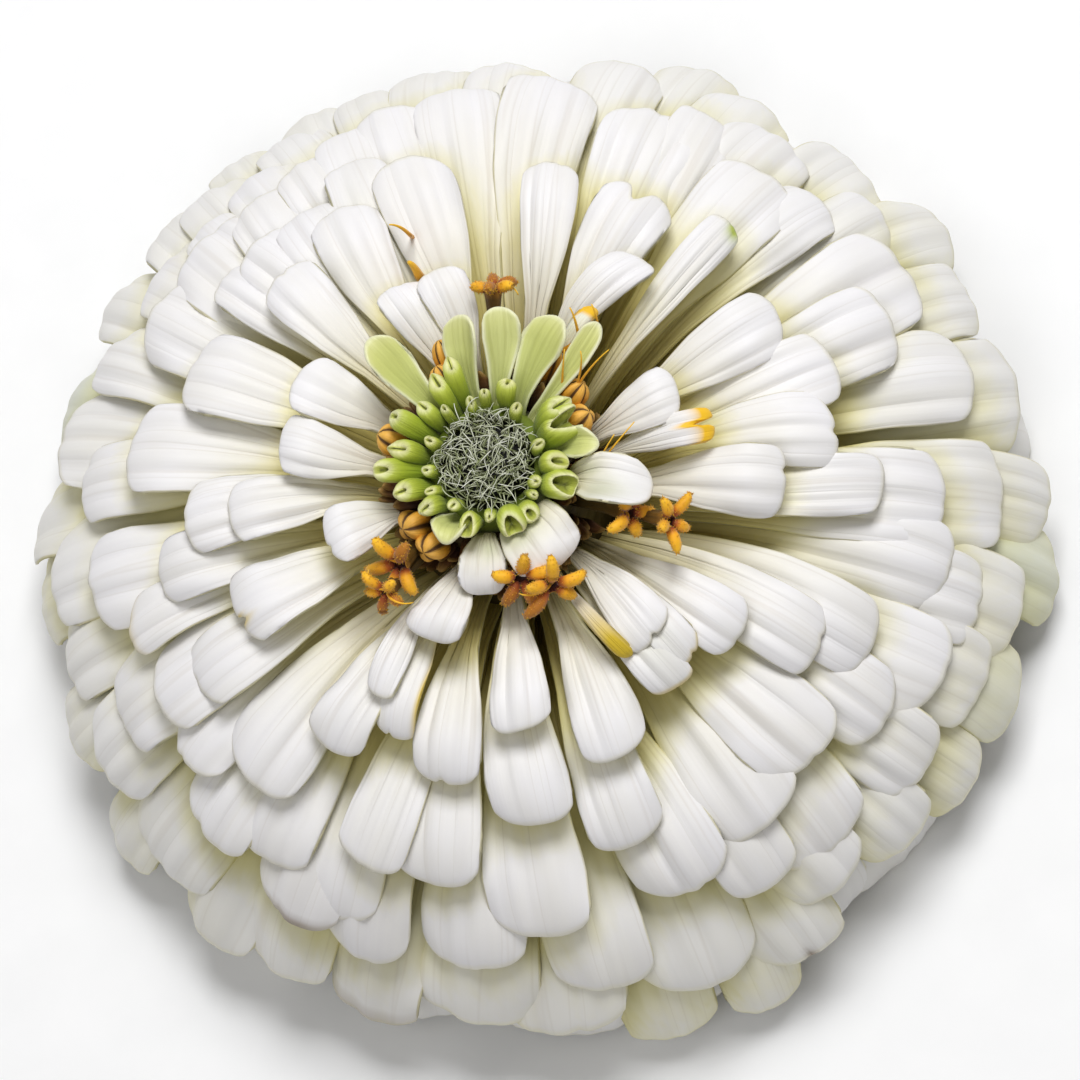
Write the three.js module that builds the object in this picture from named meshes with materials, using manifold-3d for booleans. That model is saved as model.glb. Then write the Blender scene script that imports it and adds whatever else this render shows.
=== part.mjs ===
// A fully double white zinnia bloom, cut close under the head and lying face up on its lowest petals.
// Millimetres, +Z up. The origin is under the middle of the bloom, on the surface that it rests on.
import * as THREE from 'three';
import Module from 'manifold-3d';

const wasm = await Module();
wasm.setup();

// Driving dimensions
const CROWN_HEIGHT = 42; // height of the petal tips over the disc
const ENVELOPE_FLOOR = -7; // height at which the half ellipse of the petal tips ends
const ENVELOPE_RADIUS = 54.5; // radius of that half ellipse
const LONGEST_REACH = 53; // furthest petal tip from the bloom's axis
const SHORTEST_REACH = 15; // nearest petal tip
const PETAL_THICKNESS = 0.7;
const FLORET_THICKNESS = 0.6;
const BRACT_THICKNESS = 0.9;
const BAND_SIDES = 16; // sides of the round parts that the florets grow from
const PETAL_SINK = 1.6; // how far a petal's root stands inside the receptacle
const PETAL_ROOTS = [16.2, 32.6]; // root heights of the longest and the shortest petal
const PETAL_LAUNCH = [30, 58]; // how steeply those two leave the receptacle, in degrees
const TIP_LIFT = 13; // how much less steeply than the envelope a petal's tip falls, in degrees
const FLORET_SINK = 1.4; // how far a floret's root stands inside its band
const FLORET_ROOT = 0.3; // how far up its band a floret grows from
const DISC_FLORET = { tipHeight: 39.8, launch: 32, neck: 0.6 }; // neck is the radius of the thin tube
const SPOON = { tipHeight: 43.4, launch: 42 };
const TUBE = { tipHeight: 43, launch: 56 };
const STEM_RADIUS = 3.6;
const STEM_END = 0.4; // height of the stem's cut end
const BASE_RADIUS = 10.2;
const BASE_HEIGHT = 14.6; // top of the green base, under the lowest petals
const RAY_BAND = { bottom: 15, top: 33.6, wide: 12, narrow: 8.2 }; // the receptacle where petals grow
const DISC_BAND = { bottom: 33.9, top: 35.8, wide: 8, narrow: 7.4 }; // where the disc florets grow
const YOUNG_BAND = { bottom: 36.2, top: 39, wide: 6.9, narrow: 5.2 }; // where the young florets grow
const CHAFF_BAND = { bottom: 39.3, wide: 4.5, top: 41.2 }; // the low dome under the bristles
const BRISTLES = { count: 34, length: 2.1, root: 0.42, tip: 0.2 }; // root and tip are radii
const BLOOM_AXIS = [0.52, 0.8]; // where the axis stands, so that the origin is under the outline's middle

const SEAM_TOLERANCE = 0.05; // slivers thinner than this are merged where repeats are fused
const DEGREE = Math.PI / 180;
const GOLDEN_ANGLE = 137.508;

// Every petal's tip as [azimuth in degrees, reach in mm, width in mm], from the innermost outwards.
const PETALS = [
  [173, 16.8, 7], [219, 17.5, 5.5], [350, 19.3, 6.5], [85, 20.3, 6.5], [74, 20.3, 6], [122, 21, 7.5],
  [139, 20.6, 7], [338, 21.5, 4], [281, 23, 6.5], [212, 24, 4], [24, 25, 5.5], [245, 25.5, 7],
  [156, 26, 7.5], [217, 27, 5], [278, 27.5, 5.5], [284, 26.5, 5], [325, 27.8, 8.5], [175, 28.5, 9],
  [294, 28.5, 7.5], [262, 29.8, 8], [229, 30, 8], [206, 30.5, 7.5], [104, 30, 7.5], [155, 30.5, 8.5],
  [358, 31.5, 8], [50, 32.5, 6.5], [32, 32.5, 9], [88, 33, 8.5], [336, 33, 8.5], [245, 33.5, 9],
  [17, 33.5, 4.5], [126, 34, 10], [348, 34.5, 8.5], [75, 35, 9], [161, 35, 7.5], [180, 35.5, 8.5],
  [300, 35, 8], [94, 35.5, 8], [103, 36, 8], [109, 36.5, 7], [328, 37, 6.5], [197, 37.5, 10],
  [258, 37.5, 8], [140, 38, 10], [83, 38, 7], [228, 39, 10], [218, 39, 7.5], [304, 39, 8.5],
  [167, 39.5, 6.5], [178, 39.5, 9.5], [287, 40, 10], [187, 41, 8], [98, 41, 8], [119, 41.5, 9.5],
  [20, 41.5, 9.5], [276, 41.5, 10], [353, 41.5, 9], [327, 42.5, 9.5], [108, 42, 10], [89, 42, 8],
  [38, 43, 10], [32, 44.5, 7], [203, 43, 10], [243, 43, 10], [263, 43, 10], [297, 43, 8.5],
  [82, 43, 8], [76, 43.5, 8], [158, 43.5, 10], [13, 43.5, 7], [67, 44.5, 9], [318, 44, 9],
  [213, 44.5, 11], [195, 44.5, 9], [104, 44.5, 8], [53, 45, 9.5], [144, 45, 8], [175, 45, 10],
  [305, 45.5, 11], [0, 45.5, 11], [272, 45.5, 8], [95, 46, 9], [233, 46, 10.5], [209, 46, 10],
  [281, 46.5, 10.5], [113, 46.5, 10], [24, 47, 10], [345, 47, 9.5], [316, 47, 9], [125, 47, 8],
  [219, 47, 9], [60, 48, 9], [249, 48, 10], [295, 48, 9], [9, 48, 7.5], [330, 48.5, 10.5],
  [137, 48.5, 10], [154, 48.5, 11], [178, 49, 10.5], [278, 49, 10], [307, 49, 10], [90, 49, 8],
  [101, 49, 9], [164, 49.5, 10], [107, 50, 9], [260, 50, 12], [46, 49, 9], [30, 49.5, 10],
  [78, 49.5, 9], [70, 50, 9], [288, 50.5, 9], [232, 50.5, 13], [356, 50.5, 8.5], [317, 50.5, 10],
  [190, 51, 12], [243, 51, 12], [343, 51, 12], [209, 51, 10], [118, 51, 9], [220, 51.5, 10],
  [172, 51.5, 9], [271, 51.5, 10.5], [16, 50.5, 10], [85, 51, 9], [96, 51.5, 8],
  [38, 51.5, 9], [130, 52.5, 11], [145, 52, 10], [199, 52, 10], [308, 52, 10], [330, 52, 8.5],
  [5, 52, 9], [154, 52.5, 10], [297, 52, 9], [254, 53, 9.5], [265, 53, 8],
  [323, 53, 10], [184, 53, 8.5],
];

const SUNK_TIP = -0.5; // the lowest tips pass the surface and are cut flat on it

// The lowest whorl hangs over and down to the surface, spaced by the golden angle.
const SKIRT = { count: 12, firstAzimuth: 12, reach: 49.5, width: 10, rootRadius: 10.4, rootHeight: 15.7 };

// Young florets as [azimuth, reach, width]: open spoons, and tubes that are still rolled up.
const SPOONS = [
  [102, 15.5, 4.5], [68, 13.5, 4], [52, 14, 4], [30, 14.5, 5], [17, 16, 2.6], [333, 10.5, 3.4],
  [215, 8.6, 4],
];
const TUBES = [
  [155, 9.8, 2.2], [142, 8.2, 2], [123, 9.4, 2.2], [108, 7.6, 1.8], [90, 8.6, 2], [78, 9.4, 1.8],
  [40, 7.4, 1.8], [1, 8.8, 2.2], [350, 8.6, 3], [322, 7.4, 2.2], [307, 8.6, 2.8], [277, 7.4, 2],
  [261, 7.6, 2.8], [228, 7.2, 2], [192, 7.4, 1.8], [172, 8.4, 2],
];

// Disc florets as [azimuth, reach, width]: closed buds near the disc, and open ones further out.
const BUDS = [
  [133, 10.6, 2.4], [86, 10.4, 2], [188, 10, 2.6], [205, 10.4, 2.6], [7, 11.6, 2.2], [353, 10.6, 2.4],
];
const OPEN_FLORETS = [
  [80, 12.6, 2.2], [57, 17.5, 2.2], [198, 13, 2.6], [201, 16, 2], [253, 11.6, 2.6], [263, 13, 2.6],
  [307, 15, 2.4], [309, 19, 2.2], [27, 12.6, 1.8],
];

const clamp = (value, low, high) => Math.min(Math.max(value, low), high);
const mix = (a, b, t) => a + (b - a) * t;

// A seeded draw between 0 and 1.
function seededDraw(seed) {
  let state = seed;
  return () => {
    state = (Math.imul(state, 1664525) + 1013904223) >>> 0;
    return state / 4294967296;
  };
}

// Height of the envelope at a distance from the axis, and how steeply it falls there.
const dome = (reach) => Math.sqrt(1 - (reach / ENVELOPE_RADIUS) ** 2);
const envelopeHeight = (reach) => mix(ENVELOPE_FLOOR, CROWN_HEIGHT, dome(reach));
const envelopeFall = (reach) => {
  const gradient = ((CROWN_HEIGHT - ENVELOPE_FLOOR) * reach) / (ENVELOPE_RADIUS ** 2 * dome(reach));
  return Math.atan(gradient);
};

// A Bezier spine in the half plane of radius and height, leaving its root upwards and its tip downwards.
function spine({ root, launch, tip, fall, reachIn = 0.36, reachOut = 0.34 }) {
  const start = new THREE.Vector2(...root);
  const end = new THREE.Vector2(...tip);
  const chord = start.distanceTo(end);
  const leave = new THREE.Vector2(Math.cos(launch), Math.sin(launch)).multiplyScalar(reachIn * chord);
  const arrive = new THREE.Vector2(Math.cos(fall), -Math.sin(fall)).multiplyScalar(reachOut * chord);
  return new THREE.CubicBezierCurve(start, start.clone().add(leave), end.clone().sub(arrive), end);
}

// A point of a spine, swung to its azimuth, with the frame of the blade there.
function frameAt(curve, azimuth, along) {
  const angle = azimuth * DEGREE;
  const outward = new THREE.Vector3(Math.cos(angle), Math.sin(angle), 0);
  const point = curve.getPoint(along);
  const slope = curve.getTangent(along);
  const centre = outward.clone().multiplyScalar(point.x);
  centre.z = point.y;
  const tangent = outward.clone().multiplyScalar(slope.x);
  tangent.z = slope.y;
  const across = new THREE.Vector3(-Math.sin(angle), Math.cos(angle), 0);
  const normal = new THREE.Vector3().crossVectors(tangent, across).normalize();
  return { centre, across, normal };
}

// A solid from closed triangles, turned round if they face inwards.
function solidFrom(positions, triangles) {
  const vertProperties = new Float32Array(positions.flatMap((p) => [p.x, p.y, p.z]));
  const triVerts = new Uint32Array(triangles.flat());
  const solid = new wasm.Manifold(new wasm.Mesh({ numProp: 3, vertProperties, triVerts }));
  return solid.volume() > 0 ? solid : solidFrom(positions, triangles.map(([a, b, c]) => [a, c, b]));
}

// A blade from rows of [left, middle, right] points of its middle surface. Both faces are split alike.
function bladeSolid(rows, thickness) {
  const positions = [];
  const triangles = [];
  const side = (row, column, face) => (row * 3 + column) * 2 + face;
  const quad = (a, b, c, d) => triangles.push([a, b, c], [a, c, d]);
  for (const row of rows) {
    for (const point of row.points) {
      const half = row.normal.clone().multiplyScalar(thickness / 2);
      positions.push(point.clone().add(half), point.clone().sub(half));
    }
  }
  for (let i = 0; i + 1 < rows.length; i += 1) {
    for (const j of [0, 1]) {
      quad(side(i, j, 0), side(i + 1, j, 0), side(i + 1, j + 1, 0), side(i, j + 1, 0));
      triangles.push([side(i, j, 1), side(i + 1, j + 1, 1), side(i + 1, j, 1)]);
      triangles.push([side(i, j, 1), side(i, j + 1, 1), side(i + 1, j + 1, 1)]);
    }
    quad(side(i, 0, 1), side(i + 1, 0, 1), side(i + 1, 0, 0), side(i, 0, 0));
    quad(side(i, 2, 0), side(i + 1, 2, 0), side(i + 1, 2, 1), side(i, 2, 1));
  }
  const last = rows.length - 1;
  for (const j of [0, 1]) {
    quad(side(0, j, 0), side(0, j + 1, 0), side(0, j + 1, 1), side(0, j, 1));
    quad(side(last, j, 1), side(last, j + 1, 1), side(last, j + 1, 0), side(last, j, 0));
  }
  return solidFrom(positions, triangles);
}

// Stations along a petal, as [place along the spine, share of full width, camber].
// Camber lifts the edges of the claw into a channel and lowers the edges of the blade.
const PETAL_STATIONS = [
  [0, 0.15, 0], [0.42, 0.42, 0.05], [0.76, 1, 0], [1, 0.6, -0.05],
];
const SPOON_STATIONS = [
  [0, 0.3, 0.1], [0.45, 0.5, 0.3], [0.8, 1, 0.26], [1, 0.6, 0.12],
];

const BRACT_STATIONS = [[0, 0.7, 0.04], [0.7, 1, 0.08], [1, 0.5, 0.03]];

function bladeAlong(curve, azimuth, width, stations, thickness) {
  const rows = stations.map(([along, share, camber]) => {
    const { centre, across, normal } = frameAt(curve, azimuth, along);
    const half = (width * share) / 2;
    const edge = (side) =>
      centre.clone().addScaledVector(across, side * half).addScaledVector(normal, camber * width);
    return { points: [edge(-1), centre, edge(1)], normal: normal.clone().negate() };
  });
  return bladeSolid(rows, thickness);
}

// A petal's root, launch and fall follow from its reach: shorter petals grow higher up and steeper.
function petalSpine(reach) {
  const inward = (LONGEST_REACH - reach) / (LONGEST_REACH - SHORTEST_REACH);
  const height = mix(...PETAL_ROOTS, inward);
  return spine({
    root: [bandRadius(RAY_BAND, height) - PETAL_SINK, height],
    launch: mix(...PETAL_LAUNCH, inward) * DEGREE,
    tip: [reach, envelopeHeight(reach)],
    fall: envelopeFall(reach) - TIP_LIFT * DEGREE,
  });
}

const bandRadius = (band, height) =>
  mix(band.wide, band.narrow, clamp((height - band.bottom) / (band.top - band.bottom), 0, 1));

function latheSolid(profile) {
  const points = profile.map(([r, z]) => new THREE.Vector2(r, z));
  const geometry = new THREE.LatheGeometry(points, BAND_SIDES);
  geometry.rotateX(Math.PI / 2);
  return closedSolid(geometry);
}

// Merges the vertices of a closed three.js geometry and drops triangles that have no area.
function closedSolid(geometry) {
  const position = geometry.getAttribute('position');
  const index = geometry.index ? [...geometry.index.array] : [...Array(position.count).keys()];
  const keys = new Map();
  const positions = [];
  const merged = index.map((i) => {
    const point = new THREE.Vector3().fromBufferAttribute(position, i);
    const key = point.toArray().map((value) => Math.round(value * 1e4)).join();
    if (!keys.has(key)) {
      keys.set(key, positions.length);
      positions.push(point);
    }
    return keys.get(key);
  });
  const triangles = [];
  for (let i = 0; i < merged.length; i += 3) {
    const [a, b, c] = merged.slice(i, i + 3);
    if (a !== b && b !== c && c !== a) triangles.push([a, b, c]);
  }
  return solidFrom(positions, triangles);
}

const coneSolid = ({ bottom, top, wide, narrow }) =>
  latheSolid([[0, bottom], [wide, bottom], [narrow, top], [0, top]]);

// A round shaft with a swelling head along a spine, from [place along the spine, radius] stations.
function shaftSolid(curve, azimuth, stations, sides) {
  const positions = [];
  const triangles = [];
  const ring = (i, k) => i * sides + (k % sides);
  for (const [along, radius] of stations) {
    const { centre, across, normal } = frameAt(curve, azimuth, along);
    for (let k = 0; k < sides; k += 1) {
      const turn = (k / sides) * 2 * Math.PI;
      positions.push(
        centre.clone()
          .addScaledVector(across, radius * Math.cos(turn))
          .addScaledVector(normal, radius * Math.sin(turn)),
      );
    }
  }
  for (let i = 0; i + 1 < stations.length; i += 1) {
    for (let k = 0; k < sides; k += 1) {
      triangles.push([ring(i, k), ring(i, k + 1), ring(i + 1, k + 1)]);
      triangles.push([ring(i, k), ring(i + 1, k + 1), ring(i + 1, k)]);
    }
  }
  const last = stations.length - 1;
  for (let k = 1; k + 1 < sides; k += 1) {
    triangles.push([ring(0, 0), ring(0, k + 1), ring(0, k)]);
    triangles.push([ring(last, 0), ring(last, k), ring(last, k + 1)]);
  }
  return solidFrom(positions, triangles);
}

// Fuses repeats to what they grow from. Sealed hollows are filled and loose scraps dropped.
function fuse(solids) {
  const pieces = wasm.Manifold.union(solids).trimByPlane([0, 0, 1], 0).simplify(SEAM_TOLERANCE).decompose();
  return pieces.reduce((a, b) => (a.volume() > b.volume() ? a : b));
}

function rayPetals() {
  const draw = seededDraw(11);
  const solids = [coneSolid(RAY_BAND)];
  for (const [azimuth, reach, width] of PETALS) {
    solids.push(bladeAlong(petalSpine(reach), azimuth, width, PETAL_STATIONS, PETAL_THICKNESS));
  }
  for (let i = 0; i < SKIRT.count; i += 1) {
    const curve = spine({
      root: [SKIRT.rootRadius, SKIRT.rootHeight],
      launch: 5 * DEGREE,
      tip: [SKIRT.reach + 1.5 * draw(), SUNK_TIP],
      fall: 80 * DEGREE,
      reachOut: 0.45,
    });
    const azimuth = SKIRT.firstAzimuth + i * GOLDEN_ANGLE;
    solids.push(bladeAlong(curve, azimuth, SKIRT.width, PETAL_STATIONS, PETAL_THICKNESS));
  }
  return fuse(solids);
}

// A floret stands on its band, rises steeply and leans out to its tip just over the petals.
function floretSpine(band, reach, { tipHeight, launch }) {
  const height = mix(band.bottom, band.top, FLORET_ROOT);
  return spine({
    root: [bandRadius(band, height) - FLORET_SINK, height],
    launch: launch * DEGREE,
    tip: [reach, tipHeight],
    fall: -30 * DEGREE,
    reachIn: 0.3,
    reachOut: 0.3,
  });
}

function discFlorets() {
  const solids = [coneSolid(DISC_BAND)];
  const { neck } = DISC_FLORET;
  for (const [azimuth, reach, width] of BUDS) {
    const half = width / 2;
    const stations = [[0, neck], [0.4, neck], [0.62, half], [0.86, half], [1, 0.35 * half]];
    solids.push(shaftSolid(floretSpine(DISC_BAND, reach, DISC_FLORET), azimuth, stations, 6));
  }
  for (const [azimuth, reach, width] of OPEN_FLORETS) {
    const half = width / 2;
    const stations = [[0, neck], [0.7, neck], [0.9, half], [1, 1.25 * half]];
    solids.push(shaftSolid(floretSpine(DISC_BAND, reach, DISC_FLORET), azimuth, stations, 6));
  }
  return fuse(solids);
}

function youngFlorets() {
  const solids = [coneSolid(YOUNG_BAND)];
  for (const [azimuth, reach, width] of SPOONS) {
    const curve = floretSpine(YOUNG_BAND, reach, SPOON);
    solids.push(bladeAlong(curve, azimuth, width, SPOON_STATIONS, FLORET_THICKNESS));
  }
  for (const [azimuth, reach, width] of TUBES) {
    const half = width / 2;
    const stations = [[0, 0.6 * half], [0.4, 0.75 * half], [0.85, half], [1, 0.7 * half]];
    solids.push(shaftSolid(floretSpine(YOUNG_BAND, reach, TUBE), azimuth, stations, 6));
  }
  return fuse(solids);
}

// The chaff: a low dome that stiff bristles stand out of, placed by the golden angle.
function chaff() {
  const { bottom, wide, top } = CHAFF_BAND;
  const { count, length, root, tip } = BRISTLES;
  const solids = [latheSolid([[0, bottom], [wide, bottom], [wide * 0.75, top - 0.6], [0, top]])];
  const draw = seededDraw(5);
  for (let i = 0; i < count; i += 1) {
    const radius = (wide - 0.5) * Math.sqrt((i + 0.5) / count);
    const foot = top - 1.3 - 0.5 * (radius / wide) ** 2;
    const curve = spine({
      root: [radius, foot],
      launch: 75 * DEGREE,
      tip: [radius + 0.3 + 0.5 * draw(), foot + length + 0.8 * draw()],
      fall: -60 * DEGREE,
    });
    solids.push(shaftSolid(curve, i * GOLDEN_ANGLE, [[0, root], [1, tip]], 3));
  }
  return fuse(solids);
}

// The stem's cut end swells into the green base of the head, which rows of rounded bracts cover.
function stemAndBracts() {
  const profile = [
    [0, STEM_END], [STEM_RADIUS, STEM_END], [STEM_RADIUS, 3], [STEM_RADIUS + 0.8, 5.5], [7.4, 8.4],
    [9.8, 11.8], [BASE_RADIUS, BASE_HEIGHT], [0, BASE_HEIGHT],
  ];
  const solids = [latheSolid(profile)];
  const rows = [
    { count: 6, root: [4, 4.6], tip: [8.6, 8.6], width: 4.6 },
    { count: 8, root: [6.6, 7.4], tip: [10.8, 11.4], width: 6 },
    { count: 10, root: [8.6, 10.2], tip: [11.9, 14.2], width: 6 },
  ];
  for (const { count, root, tip, width } of rows) {
    const curve = spine({ root, launch: 30 * DEGREE, tip, fall: -62 * DEGREE });
    for (let i = 0; i < count; i += 1) {
      const azimuth = (i * 360) / count;
      solids.push(bladeAlong(curve, azimuth, width, BRACT_STATIONS, BRACT_THICKNESS));
    }
  }
  return fuse(solids);
}

function meshOf(name, solid, color, roughness) {
  const { vertProperties, triVerts } = solid.getMesh();
  const geometry = new THREE.BufferGeometry();
  geometry.setAttribute('position', new THREE.BufferAttribute(new Float32Array(vertProperties), 3));
  geometry.setIndex(new THREE.BufferAttribute(new Uint32Array(triVerts), 1));
  geometry.computeVertexNormals();
  const material = new THREE.MeshStandardMaterial({ color, roughness, metalness: 0 });
  const mesh = new THREE.Mesh(geometry, material);
  mesh.name = name;
  return mesh;
}

const bloom = new THREE.Group();
bloom.add(
  meshOf('stem_and_bracts', stemAndBracts(), 0x6f8a3a, 0.7),
  meshOf('ray_petals', rayPetals(), 0xf2f1ec, 0.6),
  meshOf('disc_florets', discFlorets(), 0xe09a1c, 0.7),
  meshOf('young_florets', youngFlorets(), 0xa8b93c, 0.6),
  meshOf('chaff', chaff(), 0x6d705c, 0.8),
);
bloom.position.set(BLOOM_AXIS[0], BLOOM_AXIS[1], 0);

export default bloom;
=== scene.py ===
"""A fully double white zinnia bloom, cut close and lying face up on a white surface in soft studio light.

Lengths are in millimetres, as in the frame's own drawing, and turn into metres where a mesh is made.
"""

import math
import random

import bpy
import numpy as np
from mathutils import Matrix, Vector


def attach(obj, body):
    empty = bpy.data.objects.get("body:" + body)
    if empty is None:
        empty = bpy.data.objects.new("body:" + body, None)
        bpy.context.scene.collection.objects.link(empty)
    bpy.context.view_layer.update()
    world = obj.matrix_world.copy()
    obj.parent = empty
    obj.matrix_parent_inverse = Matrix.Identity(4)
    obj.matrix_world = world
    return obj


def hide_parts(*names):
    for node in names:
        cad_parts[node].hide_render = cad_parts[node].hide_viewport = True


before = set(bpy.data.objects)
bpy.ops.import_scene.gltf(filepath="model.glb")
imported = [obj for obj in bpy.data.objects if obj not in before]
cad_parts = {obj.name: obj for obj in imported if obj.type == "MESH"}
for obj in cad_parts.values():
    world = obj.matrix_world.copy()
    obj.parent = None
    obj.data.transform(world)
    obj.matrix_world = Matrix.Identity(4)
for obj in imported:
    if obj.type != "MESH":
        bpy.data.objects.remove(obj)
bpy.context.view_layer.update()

MM = 0.001

# Driving dimensions of the bloom, the same as the frame's
CROWN_HEIGHT = 42
ENVELOPE_FLOOR = -7
ENVELOPE_RADIUS = 54.5
LONGEST_REACH = 53
SHORTEST_REACH = 15
STEM_RADIUS = 3.6
STEM_END = 0.4
BASE_RADIUS = 10.2
BASE_HEIGHT = 14.6
RAY_BAND = {"bottom": 15, "top": 33.6, "wide": 12, "narrow": 8.2}
DISC_BAND = {"bottom": 33.9, "top": 35.8, "wide": 8, "narrow": 7.4}
YOUNG_BAND = {"bottom": 36.2, "top": 39, "wide": 6.9, "narrow": 5.2}
CHAFF_BAND = {"bottom": 39.3, "wide": 4.5, "top": 41.2}
BLOOM_AXIS = np.array([0.52, 0.8, 0.0])
GOLDEN_ANGLE = 137.508

PETAL_SINK = 1.6
PETAL_ROOTS = (16.2, 32.6)
PETAL_LAUNCH = (30, 58)
TIP_LIFT = 13
FLORET_SINK = 1.4
FLORET_ROOT = 0.3
DISC_FLORET = {"tip_height": 39.8, "launch": 32}

# Sizes that the scene has of its own
SPOON = {"tip_height": 42.6, "launch": 42}
HAIR = {"count": 150, "radius": 0.055, "lengths": (0.12, 0.27), "steepest": 0.75}
BRISTLES = {"count": 720, "lengths": (1.4, 3.6), "radii": (0.05, 0.1)}
SCALES = {"count": 190, "rows": 8, "lowest": 30.5, "highest": 36.4, "roots": (8.2, 5.8), "rise": 7}
STEM_HAIRS = {"count": 260, "radius": 0.05, "lengths": (0.5, 0.9), "top": 4.3}
CENTRE = 0.01  # radius of a lathed part where it meets the axis

YOLK = (0.93, 0.55, 0.02)
GOLD = (0.66, 0.47, 0.03)
LIME = (0.42, 0.5, 0.08)
OLIVE = (0.4, 0.4, 0.16)
BROWN = (0.13, 0.06, 0.02)
DRIED = (0.035, 0.018, 0.008)
ASH = (0.5, 0.48, 0.5)
MOSS = (0.5, 0.56, 0.36)
SHADE = (0.5, 0.52, 0.33)
CREAM = (0.84, 0.84, 0.6)
MOSSY = (0.38, 0.42, 0.08)

# Every petal's tip as (azimuth in degrees, reach, width), from the innermost outwards, then two slim ones
PETALS = [
    (173, 16.8, 7), (219, 17.5, 7), (350, 19.3, 6.5), (85, 20.3, 6.5), (74, 20.3, 6), (122, 21, 7.5),
    (139, 20.6, 7), (338, 21.5, 4), (281, 23, 6.5), (212, 24, 4), (24, 25, 5.5), (245, 25.5, 7),
    (156, 26, 7.5), (217, 27, 5), (278, 27.5, 5.5), (284, 26.5, 5), (325, 27.8, 8.5), (175, 28.5, 9),
    (294, 28.5, 7.5), (262, 29.8, 8), (229, 30, 8), (206, 30.5, 7.5), (104, 30, 7.5), (155, 30.5, 8.5),
    (358, 31.5, 8), (50, 32.5, 6.5), (32, 32.5, 9), (88, 33, 8.5), (336, 33, 8.5), (245, 33.5, 9),
    (17, 33.5, 4.5), (126, 34, 10), (348, 34.5, 8.5), (75, 35, 9), (161, 35, 7.5), (180, 35.5, 8.5),
    (300, 35, 8), (94, 35.5, 8), (103, 36, 8), (109, 36.5, 7), (328, 37, 6.5), (197, 37.5, 10),
    (258, 37.5, 8), (140, 38, 10), (83, 38, 7), (228, 39, 10), (218, 39, 7.5), (304, 39, 8.5),
    (167, 39.5, 6.5), (178, 39.5, 9.5), (287, 40, 10), (187, 41, 8), (98, 41, 8), (119, 41.5, 9.5),
    (20, 41.5, 9.5), (276, 41.5, 10), (353, 41.5, 9), (327, 42.5, 9.5), (108, 42, 10), (89, 42, 8),
    (38, 43, 10), (32, 44.5, 7), (203, 43, 10), (243, 43, 10), (263, 43, 10), (297, 43, 8.5),
    (82, 43, 8), (76, 43.5, 8), (158, 43.5, 10), (13, 43.5, 7), (67, 44.5, 9), (318, 44, 9),
    (213, 44.5, 11), (195, 44.5, 9), (104, 44.5, 8), (53, 45, 9.5), (144, 45, 8), (175, 45, 10),
    (305, 45.5, 11), (0, 45.5, 11), (272, 45.5, 8), (95, 46, 9), (233, 46, 10.5), (209, 46, 10),
    (281, 46.5, 10.5), (113, 46.5, 10), (24, 47, 10), (345, 47, 9.5), (316, 47, 9), (125, 47, 8),
    (219, 47, 9), (60, 48, 9), (249, 48, 10), (295, 48, 9), (9, 48, 7.5), (330, 48.5, 10.5),
    (137, 48.5, 10), (154, 48.5, 11), (178, 49, 10.5), (278, 49, 10), (307, 49, 10), (90, 49, 8),
    (101, 49, 9), (164, 49.5, 10), (107, 50, 9), (260, 50, 12), (46, 49, 9), (30, 49.5, 10),
    (78, 49.5, 9), (70, 50, 9), (288, 50.5, 9), (232, 50.5, 13), (356, 50.5, 8.5), (317, 50.5, 10),
    (190, 51, 12), (243, 51, 12), (343, 51, 12), (209, 51, 10), (118, 51, 9), (220, 51.5, 10),
    (172, 51.5, 9), (271, 51.5, 10.5), (16, 50.5, 10), (85, 51, 9), (96, 51.5, 8),
    (38, 51.5, 9), (130, 52.5, 11), (145, 52, 10), (199, 52, 10), (308, 52, 10), (330, 52, 8.5),
    (5, 52, 9), (154, 52.5, 10), (297, 52, 9), (254, 53, 9.5), (265, 53, 8),
    (323, 53, 10), (184, 53, 8.5), (274, 22.6, 1.8), (25, 18, 1.7),
]

# The lowest whorl: as many petals as lowest says hang down to the surface, and the rest stand just above it
SKIRT = {
    "count": 23, "lowest": 12, "first": 12, "reach": 50.2, "width": 12.5, "root": (10.4, 15.7),
    "raised": (1.5, 3), "launch": 5, "fall": 80, "age": 0.8,
}

# Young florets and disc florets as (azimuth, reach, width)
SPOONS = [
    (102, 15.5, 4.5), (68, 13.5, 4), (52, 14, 4), (30, 14.5, 5), (17, 16, 2.6), (333, 10.5, 3.4),
    (215, 8.6, 4),
]
TUBES = [
    (155, 9.8, 2.2), (142, 8.2, 2), (123, 9.4, 2.2), (108, 7.6, 1.8), (90, 8.6, 2), (78, 9.4, 1.8),
    (40, 7.4, 1.8), (1, 8.8, 2.2), (350, 8.6, 3), (322, 7.4, 2.2), (307, 8.6, 2.8), (277, 7.4, 2),
    (261, 7.6, 2.8), (228, 7.2, 2), (192, 7.4, 1.8), (172, 8.4, 2),
]
BUDS = [
    (133, 10.6, 2.4), (86, 10.4, 2), (188, 10, 2.6), (205, 10.4, 2.6), (7, 11.6, 2.2), (353, 10.6, 2.4),
    (80, 12.6, 1.9), (27, 12.6, 1.7),
]
OPEN_FLORETS = [
    (57, 17.5, 2.2), (198, 13, 2.6), (201, 16, 2), (255, 12, 2.5), (266, 14, 2.5), (307, 15, 2.4),
    (309, 19, 2.2),
]
# Small tubes that stand in a ring round the chaff, as (azimuth, reach, width)
RING_TUBES = [
    (24, 5.6, 1.5), (58, 6.2, 1.3), (340, 5.4, 1.5), (302, 5.6, 1.5), (290, 6.2, 1.2), (245, 6, 1.4),
    (208, 5.5, 1.5), (182, 6, 1.3), (160, 5.6, 1.5), (130, 5.5, 1.5), (72, 5.6, 1.3), (97, 6, 1.2),
]
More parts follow.
